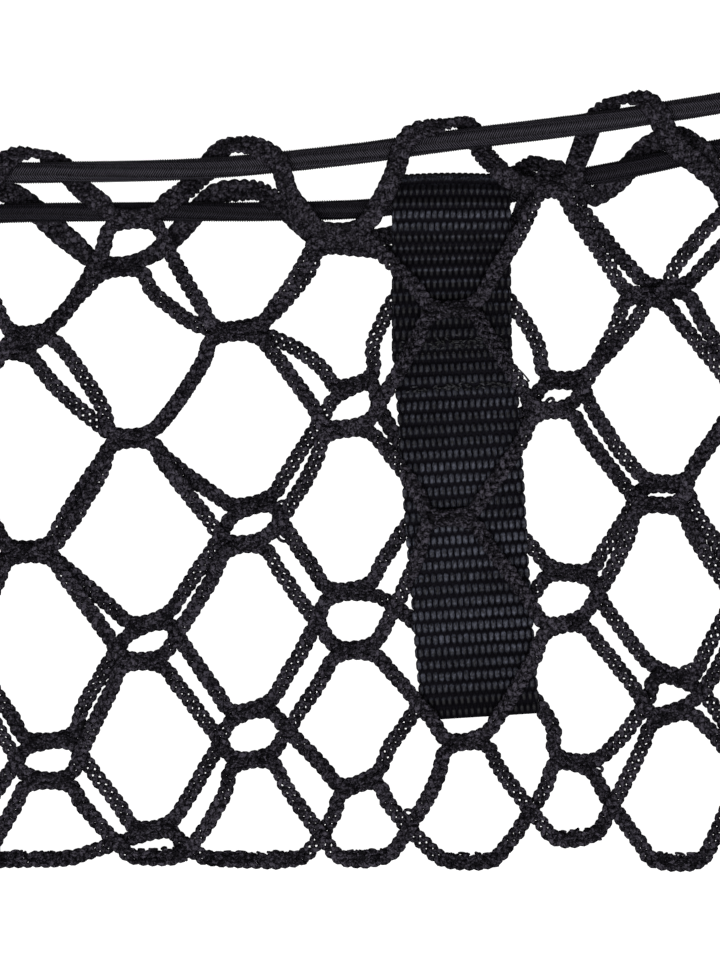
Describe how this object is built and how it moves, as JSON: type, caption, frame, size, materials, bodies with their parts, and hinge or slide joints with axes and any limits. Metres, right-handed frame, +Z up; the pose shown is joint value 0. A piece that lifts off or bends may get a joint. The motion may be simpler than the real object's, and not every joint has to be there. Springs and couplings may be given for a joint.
{
  "type": "cargo net section",
  "caption": "Section of a flat pocket cargo net: two knitted mesh layers with looped tops on knotted elastic cords, and a webbing tab folded over the rear cord.",
  "frame": {"origin": "centre of the bounding box, at the surface that the net lies on", "axes": "+X along the elastic cords, to the right in the picture; +Y across the net towards the cords, up in the picture; +Z up from the surface, from the back layer to the front layer"},
  "size_m": [0.2142, 0.1684, 0.0142],
  "materials": {
    "net_front_yarn": "knitted, matt",
    "net_back_yarn": "knitted, matt",
    "elastic_front_braid": "braided, satin",
    "elastic_back_braid": "braided, satin",
    "webbing": "woven, satin"
  },
  "bodies": {
    "root": {"net_front": "net_front_yarn", "net_back": "net_back_yarn", "elastic_front": "elastic_front_braid", "elastic_back": "elastic_back_braid", "webbing_tab": "webbing"}
  },
  "joints": []
}
